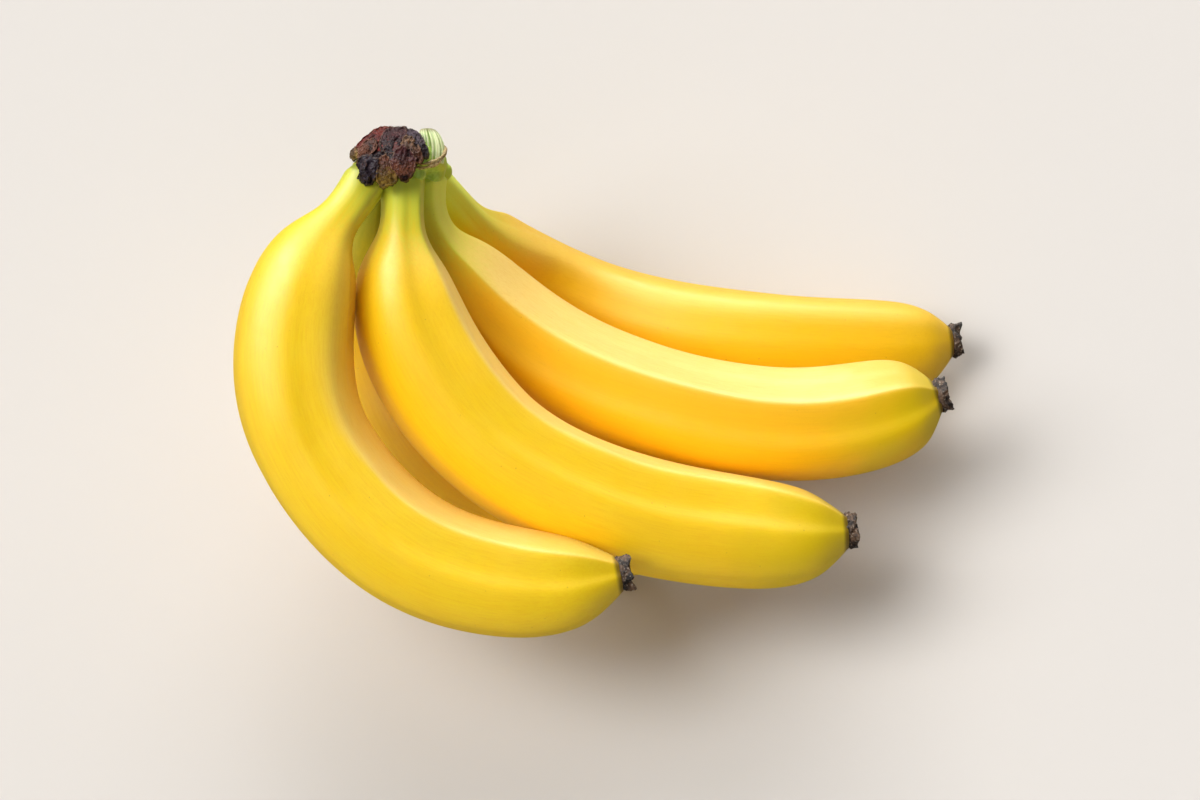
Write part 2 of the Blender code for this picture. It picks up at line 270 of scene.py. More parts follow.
# Fineness of the meshes, and how much closer the rings lie at the ends and the columns at the ridges
FINGER_RINGS = 340
FACE_COLUMNS = 30
RING_EASE = 0.6
COLUMN_EASE = 0.72
CROWN_VOXEL = 0.6
STUB_COLUMNS = 168
LOBE_COLUMNS = 120
PLATE_COLUMNS = 200
RIM_AROUND = 140
RIM_ACROSS = 12
BLOSSOM_COLUMNS = 120
BLOSSOM_RINGS = 60

# The picture is taken from here, in the upright hand's millimetres
EYE = (63.5, -1100, -74.6)
LENS = 103.95


# Places

def to_world(points):
    """Points of the upright hand in millimetres, as points of the lying hand in metres."""
    points = np.asarray(points, float)
    lean = math.radians(LEAN_DEGREES)
    turn = np.array([[1, 0, 0], [0, math.cos(lean), -math.sin(lean)], [0, math.sin(lean), math.cos(lean)]])
    return (points @ turn.T + np.array(CROWN_PLACE)) * MM


def smoothstep(low, high, value):
    """0 up to the low value and 1 from the high one, with a smooth rise between them."""
    share = np.clip((value - low) / (high - low), 0, 1)
    return share * share * (3 - 2 * share)


def natural_cubic(knots, values, at):
    """The natural cubic spline through values at knots, and its slope, at the places asked."""
    knots = np.asarray(knots, float)
    values = np.asarray(values, float).reshape(len(knots), -1)
    steps = np.diff(knots)[:, None]
    slopes = np.diff(values, axis=0) / steps
    count = len(knots)
    system = np.eye(count)
    bends = np.zeros_like(values)
    for i in range(1, count - 1):
        system[i, i - 1] = steps[i - 1, 0]
        system[i, i] = 2 * (steps[i - 1, 0] + steps[i, 0])
        system[i, i + 1] = steps[i, 0]
        bends[i] = 6 * (slopes[i] - slopes[i - 1])
    bends = np.linalg.solve(system, bends)
    span = np.clip(np.searchsorted(knots, at, side="right") - 1, 0, count - 2)
    h = steps[span]
    a = (knots[span + 1] - at)[:, None]
    b = (at - knots[span])[:, None]
    low = bends[span]
    high = bends[span + 1]
    point = (low * a**3 + high * b**3) / (6 * h)
    point += (values[span] / h - low * h / 6) * a + (values[span + 1] / h - high * h / 6) * b
    slope = (high * b**2 - low * a**2) / (2 * h) + slopes[span] - h * (high - low) / 6
    return point, slope


def middle_line(path, count):
    """Points along a path, closer together at its ends, with their directions and distances along it."""
    path = np.asarray(path, float)
    knots = np.concatenate([[0], np.cumsum(np.linalg.norm(np.diff(path, axis=0), axis=1))])
    t = np.linspace(0, 1, count)
    at = (t - RING_EASE * np.sin(2 * np.pi * t) / (2 * np.pi)) * knots[-1]
    point, slope = natural_cubic(knots, path, at)
    return point, slope / np.linalg.norm(slope, axis=1)[:, None], at


def radius_share(at, length, neck, tip):
    """The radius as a share of the largest at each distance, with the neck's and the tip's taper."""
    result = np.ones(len(at))
    for profile, distance in ((NECK_PROFILE, at / neck), (TIP_PROFILE, (length - at) / tip)):
        knots, shares = zip(*profile)
        result *= natural_cubic(knots, shares, np.minimum(distance, knots[-1]))[0][:, 0]
    return result


def section(angles, squareness):
    """The rounded five-sided outline of the source, for a table of angles and one of squareness."""
    ridges = np.radians(RIDGES)
    following = np.append(ridges[1:], ridges[0] + 2 * np.pi)
    total = np.zeros_like(angles)
    for start, end in zip(ridges, following):
        half = (end - start) / 2
        facing = np.maximum(0, np.cos(angles - (start + end) / 2)) / math.cos(half)
        total += facing**squareness
    return (total / 2) ** (-1 / squareness)


def ridge_squareness(columns, along_share, crisp):
    """The squareness for each ring and column, running smoothly from ridge to ridge and along the finger."""
    near = np.interp(along_share, CRISP_FROM_TO, crisp)[:, None]
    total = 0.0
    weights = 0.0
    for gap, squareness in zip(ridge_gaps(columns), RIDGE_SQUARENESS):
        weight = np.exp(-(gap / math.radians(RIDGE_SPAN)) ** 2) + 1e-6
        total = total + weight * (near if squareness is None else squareness)
        weights = weights + weight
    return total / weights


def crispness(squareness):
    """From 0 for a rounded ridge to 1 for one with a full crest."""
    return np.clip((squareness - PLAIN_SQUARENESS) / CREST_SQUARENESS, 0, 1)


def ridge_gaps(angles):
    """Angle to each ridge."""
    return np.array([np.abs((angles - ridge + np.pi) % (2 * np.pi) - np.pi) for ridge in np.radians(RIDGES)])


def dense_columns():
    """Angles round the section, closer together at the ridges."""
    t = np.arange(FACE_COLUMNS) / FACE_COLUMNS
    eased = t - COLUMN_EASE * np.sin(2 * np.pi * t) / (2 * np.pi)
    sides = zip(RIDGES, RIDGES[1:] + (RIDGES[0] + 360,))
    return np.radians(np.concatenate([start + (end - start) * eased for start, end in sides]))


def waves(rnd, count, low, high):
    """A slow wobble between -1 and 1 over a distance: a few sines with seeded lengths and phases."""
    parts = [(rnd.uniform(low, high), rnd.uniform(0, 2 * math.pi)) for _ in range(count)]
    return lambda at: sum(np.sin(2 * np.pi * at / span + phase) for span, phase in parts) / count


# Meshes

def add_attributes(mesh, attributes):
    for key, values in attributes.items():
        values = np.asarray(values, np.float32)
        if values.ndim == 1:
            layer = mesh.attributes.new(key, "FLOAT", "POINT")
            layer.data.foreach_set("value", values)
        else:
            layer = mesh.attributes.new(key, "FLOAT_VECTOR", "POINT")
            layer.data.foreach_set("vector", values.ravel())


def add_mesh(name, points, faces, attributes=None):
    mesh = bpy.data.meshes.new(name)
    mesh.from_pydata([tuple(p) for p in points], [], outward(faces, points))
    mesh.validate()
    mesh.shade_smooth()
    add_attributes(mesh, attributes or {})
    obj = bpy.data.objects.new(name, mesh)
    bpy.context.scene.collection.objects.link(obj)
    return obj


def tube_faces(rings, columns):
    """Faces of a closed tube of rings with a point at each end, the two end points being the last two."""
    faces = []
    for a in range(0, (rings - 1) * columns, columns):
        b = a + columns
        for j in range(columns):
            k = (j + 1) % columns
            faces.append((a + j, a + k, b + k, b + j))
    near = rings * columns
    last = near - columns
    for j in range(columns):
        k = (j + 1) % columns
        faces += [(near, k, j), (near + 1, last + j, last + k)]
    return faces


def outward(faces, points):
    """The same faces, turned over if the body that they close has a negative volume."""
    points = np.asarray(points, float)
    total = 0.0
    for count in {len(face) for face in faces}:
        corners = points[np.array([face for face in faces if len(face) == count])]
        for k in range(1, count - 1):
            total += (corners[:, 0] * np.cross(corners[:, k], corners[:, k + 1])).sum()
    return faces if total >= 0 else [tuple(reversed(face)) for face in faces]


def crest_sharpness(angles, squareness):
    """1 on the line of a crisp ridge, falling off fast to its sides, and 0 on a rounded one."""
    gap = ridge_gaps(angles).min(axis=0)
    sharp = np.exp(-(np.sqrt(gap**2 + CREST_ROUNDING**2) - CREST_ROUNDING) / CREST_WIDTH)
    return sharp * crispness(squareness)


def uneven(rnd, columns, at, share, sharp, reach):
    """The section's reach with its crests and a slow seeded swelling, which fade out on the neck."""
    nearest = ridge_gaps(columns).argmin(axis=0)
    even, varied = CREST_STRENGTH
    strength = np.array([even + varied * waves(rnd, *CREST_WAVES)(at) for _ in RIDGES])
    fade = smoothstep(*FADE_IN, share)[:, None]
    reach = reach + CREST_HEIGHT * fade * strength[nearest].T * sharp
    swell = np.zeros_like(reach)
    for _ in range(5):
        turns = rnd.randint(1, 4)
        phase = rnd.uniform(0, 2 * math.pi)
        swell += np.cos(turns * columns + phase)[None, :] * waves(rnd, *SWELL_WAVES)(at)[:, None]
    reach = reach + SWELL * fade * swell
    return reach - SUNK * fade


def closing_rings(ring, centre, along, grain, steps, drawn_out=1.0):
    """The rings that close an end, each shrunk and moved on along the finger, and their grain."""
    rings = [centre + (ring - centre) * shrink + along * forward * drawn_out for shrink, forward in steps]
    grains = [grain * (shrink, shrink, 1) + (0, 0, forward) for shrink, forward in steps]
    return rings, grains


def pale_side_and_highlight(columns, along_share, crisp):
    """How pale each ring and column is: the hollow side, with a clear edge where its ridge is crisp. The pale
    colour is partly the peel's own and partly a painted highlight.
    """
    clear = crispness(np.interp(along_share, CRISP_FROM_TO, crisp))[:, None]
    low, high = PALE_EDGE
    blur_low, blur_high = PALE_BLUR
    facing = np.cos(columns)[None, :]
    edge = smoothstep(low - blur_low * (1 - clear), high + blur_high * (1 - clear), facing)
    return edge * (PALE_LEAST + (1 - PALE_LEAST) * clear)


def finger(number, name, form):
    """A finger with narrow soft crests on its ridges, slight unevenness, and a lip turned in at the tip."""
    rnd = random.Random(number)
    point, along, at = middle_line(form["path"], FINGER_RINGS)
    length = at[-1]
    away = np.array((0.0, 1.0, 0.0))
    side = away - along * (along @ away)[:, None]
    side /= np.linalg.norm(side, axis=1)[:, None]
    hollow = np.cross(along, side)
    share = radius_share(at, length, form["neck"], form["tip"])

    columns = dense_columns()
    twist = TWIST * waves(rnd, *TWIST_WAVES)(at)
    angles = np.tile(columns, (len(at), 1))
    squareness = ridge_squareness(columns, at / length, form["crisp"])
    sharp = crest_sharpness(angles, squareness)
    reach = form["radius"] * share[:, None] * section(angles, squareness)
    reach = uneven(rnd, columns, at, share, sharp, reach)

    neck = np.clip((BODY_SHARE - share) / (BODY_SHARE - END_SHARE), 0, 1) * (at < length / 2)
    deeper = NECK_DEEPER * neck[:, None]
    turned = angles + math.radians(form["roll"]) + twist[:, None]
    inward = (reach * np.cos(turned) * (1 + deeper))[..., None]
    sideways = (reach * np.sin(turned) * (1 - deeper))[..., None]
    rings = point[:, None] + inward * hollow[:, None] - sideways * side[:, None]
    down = np.broadcast_to(at[:, None], reach.shape)
    grain = np.stack([reach * np.cos(angles), reach * np.sin(angles), down], axis=-1)

    # The neck's top is rounded where it presses into the crown, and the peel turns in round the dry flower
    top, top_grain = closing_rings(rings[0], point[0], along[0], grain[0], NECK_TOP, form["top"])
    lip, lip_grain = closing_rings(rings[-1], point[-1], along[-1], grain[-1], TIP_LIP)
    first = point[0] + along[0] * NECK_TOP[0][1] * form["top"]
    last = point[-1] - along[-1] * TIP_DIMPLE
    rings = np.concatenate([top, rings, lip])
    grain = np.concatenate([top_grain, grain, lip_grain]).reshape(-1, 3)
    grain = np.concatenate([grain, [(0, 0, 0), (0, 0, length)]])
    world = to_world(np.concatenate([rings.reshape(-1, 3), [first, last]]))
    world[:, 2] = np.maximum(world[:, 2], 0.0)

    at_all = np.concatenate([[forward for _, forward in NECK_TOP], at, np.full(len(TIP_LIP), length)])
    from_crown = np.concatenate([np.repeat(at_all, len(columns)), [0, length]])
    crest = np.pad(sharp, ((len(NECK_TOP), len(TIP_LIP)), (0, 0)))
    # Pale hollow side: partly the peel's own paler colour, partly a painted highlight
    pale = pale_side_and_highlight(columns, at_all / length, form["crisp"])
    attributes = {
        "grain": grain + 100.0 * number,
        "from_crown": from_crown,
        "from_tip": length - from_crown,
        "crest": np.append(crest, [0, 0]),
        "pale": np.append(pale, [0, 0]),
    }
    for key in ("green", "green_reach", "olive", "tone", "orange"):
        attributes[key] = np.full(len(world), form[key])
    return add_mesh(name, world, tube_faces(len(rings), len(columns)), attributes)


def crown_reach(direction):
    """How far the cushion's surface lies from its centre in a direction."""
    unit = Vector(direction).normalized()
    total = sum(abs(u / half) ** CROWN_POWER for u, half in zip(unit, CROWN_HALF))
    return total ** (-1 / CROWN_POWER)


def drawn_back(place):
    """The cushion is thinner below its middle, and its near side lies further back there."""
    x, y, z = place
    if z < 0:
        z *= CROWN_THIN_BELOW
        if y < CROWN_CENTRE[1]:
            least, more = DRAWN_BACK
            back = least + more * smoothstep(*BACK_ACROSS, x)
            y = CROWN_CENTRE[1] + (y - CROWN_CENTRE[1]) * (1 - back * smoothstep(0, BACK_DOWN, z))
    return x, y, z


def crown_block():
    """The cushion and the knuckles under the necks as overlapping balls."""
    bm = bmesh.new()
    bmesh.ops.create_icosphere(bm, subdivisions=5, radius=1)
    ball = [v.co.normalized() for v in bm.verts]
    reaches = [crown_reach(v.co) - CROWN_INSET for v in bm.verts]
    ball_faces = [tuple(v.index for v in f.verts) for f in bm.faces]
    bm.free()
    points = [drawn_back(Vector(CROWN_CENTRE) + unit * reach) for unit, reach in zip(ball, reaches)]
    faces = list(ball_faces)
    for x, y, z, radius in CROWN_KNUCKLES:
        faces += [tuple(i + len(points) for i in face) for face in ball_faces]
        points += [(x + radius * v.x, y + radius * v.y, z + radius * v.z) for v in ball]
    return add_mesh("crown_block", np.array(points), faces)


def run_together(obj, name):
    """The object's overlapping bodies as one smooth body in a new object; the old one is removed."""
    remesh = obj.modifiers.new("Remesh", "REMESH")
    remesh.mode = "VOXEL"
    remesh.voxel_size = CROWN_VOXEL
    soften = obj.modifiers.new("Smooth", "SMOOTH")
    soften.factor = 0.5
    soften.iterations = 5
    finer = obj.modifiers.new("Finer", "SUBSURF")
    finer.levels = finer.render_levels = 1
    bpy.context.view_layer.update()
    graph = bpy.context.evaluated_depsgraph_get()
    mesh = bpy.data.meshes.new_from_object(obj.evaluated_get(graph))
    bpy.data.objects.remove(obj)
    mesh.name = name
    mesh.shade_smooth()
    made = bpy.data.objects.new(name, mesh)
    bpy.context.scene.collection.objects.link(made)
    return made


def vertex_table(mesh, key):
    """The places ("co") or the normals ("normal") of a mesh's vertices."""
    flat = np.zeros(len(mesh.vertices) * 3, np.float32)
    mesh.vertices.foreach_get(key, flat)
    return flat.reshape(-1, 3)


def blended_necks(places):
    """Green, its reach and the distance down at each place, taken softly from the necks nearest to it."""
    greens, reaches, starts, total = np.zeros((4, len(places)))
    for form in FINGERS.values():
        point, _, at = middle_line(form["path"], 120)
        line = point[at < NECK_START]
        gap = np.linalg.norm(places[:, None] - line[None], axis=2)
        weight = 1 / (gap.min(axis=1) ** 4 + 1)
        greens += weight * form["green"]
        reaches += weight * form["green_reach"]
        starts += weight * at[gap.argmin(axis=1)]
        total += weight
    return greens / total, reaches / total, starts / total


def crown():
    """The green cushion and the roots of the necks, run together into one smooth body with slight lumps."""
    made = run_together(crown_block(), "crown_flesh")
    hand = vertex_table(made.data, "co").astype(float)
    across = hand[:, 0]
    greens, reaches, from_crown = blended_necks(hand)
    from_crown = from_crown - ABOVE_NECKS
    for paler, low, high in PALER_ENDS:
        from_crown = from_crown + paler * smoothstep(low, high, across)
    least, low, high = LEAST_GREEN
    attributes = {
        "grain": hand,
        "from_crown": from_crown,
        "from_tip": np.full(len(hand), 200.0),
        "green": np.maximum(greens, least * smoothstep(low, high, across)),
        "green_reach": reaches,
        "tone": np.full(len(hand), 0.5),
    }
    for key in ("crest", "pale", "olive", "orange"):
        attributes[key] = np.zeros(len(hand))
    add_attributes(made.data, attributes)

    lumps = [noise.noise(Vector(p) * 0.28) + 0.4 * noise.noise(Vector(p) * 0.9) for p in hand]
    height = CROWN_LUMPS * np.array(lumps) * smoothstep(*LUMPS_RISE, hand[:, 2])
    hand += vertex_table(made.data, "normal") * height[:, None]
    made.data.vertices.foreach_set("co", to_world(hand).astype(np.float32).ravel())
    made.data.update()
    return made


def stub():
    """The cut piece of stalk, narrower upward, with its lengthwise grooves and a rounded, dried top."""
    turn = np.linspace(0, 2 * np.pi, STUB_COLUMNS, endpoint=False)
    foot = np.array(STUB_FOOT)
    rise = np.array(STUB_TOP) - foot
    heights, shares = zip(*STUB_TAPER)
    rings = []
    grains = []
    rnd = random.Random(3)
    rough = [(rnd.uniform(0.4, 1.2), rnd.randint(5, 23), rnd.uniform(0, 6.28)) for _ in range(6)]
    for height in np.linspace(0.0, 1.0, 70):
        share = float(np.interp(height, heights, shares))
        bend = 0.25 * math.sin(2.2 * height)
        groove = GROOVE_DEPTH * np.abs(np.cos(STUB_GROOVES / 2 * turn + bend)) ** 0.7 - GROOVE_INSIDE
        groove += 0.08 * sum(a * np.sin(k * turn + p + 2 * height) for a, k, p in rough)
        across = STUB_RADIUS * share + groove * min(1.0, share + 0.2)
        flat = np.stack([across * np.cos(turn), STUB_DEEPER * across * np.sin(turn), 0 * turn], axis=1)
        curve = np.array((STUB_BOW * math.sin(math.pi * height), 0, 0))
        rings.append(foot + height * rise + curve + flat)
        grains.append(np.stack([turn * 5, groove * 2, np.full(STUB_COLUMNS, height * 12)], axis=1))
    rings = np.array(rings)
    points = np.concatenate([rings.reshape(-1, 3), [foot, foot + rise + (0, 0, 0.1)]])
    grain = np.concatenate([np.array(grains).reshape(-1, 3), [(0, 0, 0), (0, 0, 12.5)]])
    faces = tube_faces(len(rings), STUB_COLUMNS)
    return add_mesh("crown_stub", to_world(points), faces, {"grain": grain})


def skin_place(x, z, lift):
    """The point over the crown's near side at a place in the picture, rolling back beyond its outline."""
    near = Vector((x - CROWN_CENTRE[0], 0, z - CROWN_CENTRE[2]))
    halves = [half + lift for half in CROWN_HALF]
    left = abs(near.x / halves[0]) ** CROWN_POWER + abs(near.z / halves[2]) ** CROWN_POWER
    depth = max(LEAST_DEPTH, 1 - left) ** (1 / CROWN_POWER)
    beyond = max(0.0, left - ROLL_FROM)
    return Vector((x, CROWN_CENTRE[1] - halves[1] * depth + ROLL_BACK * beyond, z))


class Shells:
    """The crust's closed shells, with each point's colour, painted shade for its creases and undersides, and
    nearness to a torn lip.
    """

    def __init__(self):
        self.points = []
        self.faces = []
        self.tints = []
        self.crease_shades = []
        self.edges = []

    def add(self, point, tint, crease_shade, edge=0.0):
        self.points.append(tuple(point))
        self.tints.append(tint)
        self.crease_shades.append(min(1.0, max(0.0, crease_shade)))
        self.edges.append(edge)

    def close(self, first, columns):
        """Join the rings of points added since the first one, the last two points being the ends."""
        rings = (len(self.points) - first) // columns
        body = outward(tube_faces(rings, columns), self.points[first:])
        self.faces += [tuple(i + first for i in face) for face in body]


def lobe_edge(outline, seed):
    """A lobe's outline as many points, first rounded and then made ragged, and its middle."""
    corners = np.array(outline, float)
    centre = corners.mean(axis=0)
    corners = centre + (corners - centre) * LOBE_LARGER
    closed = np.concatenate([corners, corners[:1]])
    knots = np.concatenate([[0], np.cumsum(np.linalg.norm(np.diff(closed, axis=0), axis=1))])
    spread = np.linspace(0, knots[-1], LOBE_COLUMNS, endpoint=False)
    edge = np.stack([np.interp(spread, knots, closed[:, k]) for k in (0, 1)], axis=1)
    for _ in range(3):
        edge = (np.roll(edge, 1, axis=0) + 2 * edge + np.roll(edge, -1, axis=0)) / 4
    for j, place in enumerate(edge.copy()):
        way = place - centre
        here = Vector((place[0], place[1], seed * 3.0))
        ragged = 0.9 * noise.noise(here * 0.9) + 0.5 * noise.noise(here * 2.3)
        edge[j] += way / np.linalg.norm(way) * LOBE_RAGGED * ragged
    return edge, centre


def flap(shells, seed, outline, lift, bulge, wrinkled, above, below):
    """A torn, wrinkled lobe of dried skin with an outline in the picture, as a closed thin shell."""
    shift = Vector((seed * 11.3, seed * 5.7, 0))
    edge, centre = lobe_edge(outline, seed)
    low, high = edge[:, 1].min(), edge[:, 1].max()
    shares = np.concatenate([np.linspace(0.04, 0.86, 26), np.linspace(0.89, 1.0, 8)])
    first = len(shells.points)
    for share, under in [(s, False) for s in shares] + [(s, True) for s in shares[::-3]]:
        torn = smoothstep(*TORN_BORDER, share)
        for place in edge:
            x, z = centre + (place - centre) * share
            spot = Vector((x, z, 0))
            rough = noise.fractal(spot * 1.3 + shift, 0.8, 2.1, 4)
            level = min(1.0, max(0.0, (z - low) / (high - low) + 0.3 * rough))
            level = smoothstep(0.25, 0.75, level)
            tint = tuple(b + (a - b) * level for a, b in zip(above, below))
            # The underside is given full painted shade
            if under:
                shells.add(skin_place(x, z, lift - LOBE_THICK), tint, 1.0)
                continue
            bent = spot + 1.3 * noise.noise_vector(spot * 0.35 + shift)
            fold = noise.ridged_multi_fractal(Vector((bent.x * 0.42, bent.y * 0.17, 0)) + shift, *FOLDS)
            height = lift + bulge * (1 - share**2) + 0.45 * math.exp(-((share - LIP_AT) / 0.09) ** 2)
            height += wrinkled * 0.5 * (fold - 0.9) + 0.3 * rough
            height -= 1.1 * torn
            # Painted shade: darker in the hollows between the folds and along the sunk torn border
            crease = 0.75 - 0.75 * (fold - 0.35)
            crease += 0.9 * torn
            shells.add(skin_place(x, z, height), tint, crease, math.exp(-((share - LIP_AT) / 0.05) ** 2))
    shells.add(skin_place(*centre, lift + bulge), above, 0.3)
    shells.add(skin_place(*centre, lift - LOBE_THICK), below, 1.0)
    shells.close(first, LOBE_COLUMNS)


def inside(x, z, outline):
    """Whether a place in the picture is within a closed outline."""
    found = False
    for (ax, az), (bx, bz) in zip(outline, outline[1:] + outline[:1]):
        if (az > z) != (bz > z) and x < ax + (z - az) / (bz - az) * (bx - ax):
            found = not found
    return found


def over_cut(turn, tilt, height):
    """The point at a height over the crown, in a direction tilted away from the middle of the cut."""
    unit = Vector((math.sin(tilt) * math.cos(turn), math.sin(tilt) * math.sin(turn), math.cos(tilt)))
    unit.rotate(Vector((0, 0, 1)).rotation_difference(Vector(SCAR_AIM)))
    return Vector(CROWN_CENTRE) + unit * (crown_reach(unit) + height)


def plate_ends(turns):
    """How far the plate reaches in each direction, within the outline that the lobes fill in the picture."""
    rnd = random.Random(7)
    lobes = [(rnd.uniform(0.02, 0.05), count, rnd.uniform(0, 6.28)) for count in (3, 5, 8, 13)]
    ends = []
    for turn in turns:
        wobble = sum(a * math.sin(k * turn + p) for a, k, p in lobes)
        wobble += 0.04 * math.sin(17 * turn + 1) + 0.02 * math.sin(31 * turn + 2)
        end = SCAR_SPREAD
        for tilt in np.linspace(0.3, SCAR_SPREAD, 60):
            place = over_cut(turn, tilt, PLATE_LIFT)
            if place.y < CROWN_CENTRE[1] and not inside(place.x, place.z, SCAB_OUTLINE):
                end = tilt
                break
        ends.append(end * (1 + 0.4 * wobble) if end < SCAR_SPREAD else end * (1 + wobble))
    return np.mean([np.roll(ends, k) for k in (-2, -1, 0, 1, 2)], axis=0)


def plate(shells):
    """The wrinkled plate on the cut, thinner towards its rim."""
    shares = np.linspace(0.01, 1.0, 70)
    turns = np.linspace(0, 2 * math.pi, PLATE_COLUMNS, endpoint=False)
    ends = plate_ends(turns)
    for share in shares:
        for turn, end in zip(turns, ends):
            base = over_cut(turn, share * end, PLATE_LIFT)
            warped = base + 2.0 * noise.noise_vector(base * 0.2)
            across = Vector((warped.x * 0.33, warped.y * 0.2, warped.z * 0.14))
            fold = noise.ridged_multi_fractal(across, *FOLDS)
            rough = noise.fractal(base * 0.9, 0.8, 2.1, 5)
            height = 1.9 + 0.75 * (fold - 0.8) + 0.4 * rough
            height *= 1 - 0.3 * share**4
            height = 0.5 + height * smoothstep(*TORN_BORDER[::-1], share)
            tint = MAROON if base.x + 0.6 * base.z < 4 and base.z > 3 else BLACKENED
            # The last value is painted shade, darker in the hollows between the folds; the underside below
            # gets it in full
            shells.add(over_cut(turn, share * end, height), tint, 0.8 - 0.8 * (fold - 0.35))
    for share in shares[::-7]:
        for turn, end in zip(turns, ends):
            shells.add(over_cut(turn, share * end, PLATE_UNDER), BLACKENED, 1.0)
    shells.add(over_cut(0, 0, PLATE_TOP), BLACKENED, 0.5)
    shells.add(over_cut(0, 0, PLATE_UNDER), BLACKENED, 1.0)
    shells.close(0, PLATE_COLUMNS)


def scab():
    """The dried crust over the cut: a wrinkled plate with torn lobes of skin lying on it."""
    shells = Shells()
    plate(shells)
    for seed, lobe in enumerate(SCAB_LOBES, 1):
        flap(shells, seed, *lobe)
    hand = np.array(shells.points)
    return add_mesh("crown_scab", to_world(hand), shells.faces, {
        "grain": hand, "crease_shade": shells.crease_shades, "edge": shells.edges, "tint": np.array(shells.tints)})


def rim(name, radius, lift, seed):
    """A thin uneven ring of dry skin round the foot of the stub, lowest in front, as a closed tube."""
    rnd = random.Random(seed)
    phases = [(rnd.uniform(0.1, 0.3), rnd.randint(2, 7), rnd.uniform(0, 6.28)) for _ in range(4)]
    points = []
    grain = []
    for i in range(RIM_AROUND):
        turn = 2 * math.pi * i / RIM_AROUND
        wobble = sum(a * math.sin(k * turn + p) for a, k, p in phases)
        out = Vector((math.cos(turn), math.sin(turn), 0))
        wide, deep = (half + RIM_FLARE * lift + RIM_WAVER[0] * wobble for half in RIM_HALF)
        middle = Vector(RIM_CENTRE) + Vector((wide * out.x, deep * out.y, lift + RIM_WAVER[1] * wobble))
        middle.z += RIM_RISES[0] * out.x + RIM_RISES[1] * out.y
        thick = radius * (1 + 0.3 * math.sin(5 * turn + seed))
        for j in range(RIM_ACROSS):
            angle = 2 * math.pi * j / RIM_ACROSS
            points.append(middle + out * (thick * math.cos(angle)) + Vector((0, 0, thick * math.sin(angle))))
            grain.append((turn * 8, angle, seed * 10))
    faces = []
    for a in range(0, len(points), RIM_ACROSS):
        b = (a + RIM_ACROSS) % len(points)
        for j in range(RIM_ACROSS):
            k = (j + 1) % RIM_ACROSS
            faces.append((a + j, b + j, b + k, a + k))
    return add_mesh(name, to_world(points), faces, {"grain": grain})


def blossom_end(number, path):
    """The dry flower remains: knobbly lobes round a dished end."""
    rnd = random.Random(40 + number)
    point, along, _ = middle_line(path, 200)
    axis = along[-1]
    first = np.cross(axis, (0.0, 1.0, 0.0))
    first /= np.linalg.norm(first)
    second = np.cross(axis, first)
    knots, outs, rises = zip(*BLOSSOM_PROFILE)
    lobes = rnd.choice((5, 6))
    phase = rnd.uniform(0, 6.28)
    seed = Vector((number * 7.0, number * 3.0, 0))
    points = []
    for t in np.linspace(0, 1, BLOSSOM_RINGS):
        out = BLOSSOM_RADIUS * float(np.interp(t, knots, outs))
        rise = float(np.interp(t, knots, rises))
        rim_share = math.exp(-((t - 0.72) / 0.2) ** 2)
        for j in range(BLOSSOM_COLUMNS):
            turn = 2 * math.pi * j / BLOSSOM_COLUMNS
            lobe = math.cos(lobes * turn + phase + 0.6 * math.sin(2 * turn))
            here = Vector((math.cos(turn) * out, math.sin(turn) * out, rise))
            rough = noise.fractal(here * 0.55 + seed, 0.8, 2.1, 5)
            lumps = noise.noise(here * 0.32 + seed)
            reach = out * (1 + 0.05 * rim_share * lobe) + (0.6 * rough + 0.9 * lumps) * min(1, out / 3)
            lift = rise + rim_share * (0.35 * lobe + 1.3 * lumps) + 0.35 * rough * min(1, t * 4)
            around = math.cos(turn) * first + math.sin(turn) * second
            points.append(point[-1] + axis * lift + reach * around)
    points = np.array(points)
    ends = [point[-1] - axis * BLOSSOM_FOOT, points[-BLOSSOM_COLUMNS:].mean(0)]
    points = np.concatenate([points, ends])
    world = to_world(points)
    world[:, 2] = np.maximum(world[:, 2], 0.0)
    local = points - point[-1]
    grain = np.stack([local @ first, local @ second, local @ axis], axis=1) + 50.0 * number
    faces = tube_faces(BLOSSOM_RINGS, BLOSSOM_COLUMNS)
    return add_mesh(f"blossom_end_{number}_dry", world, faces, {"grain": grain})


# Materials

def linear(red, green, blue):
    """A picture colour from 0 to 255 as the linear colour that a shader takes."""
    channels = [value / 255 for value in (red, green, blue)]
    return tuple(c / 12.92 if c <= 0.04045 else ((c + 0.055) / 1.055) ** 2.4 for c in channels) + (1,)


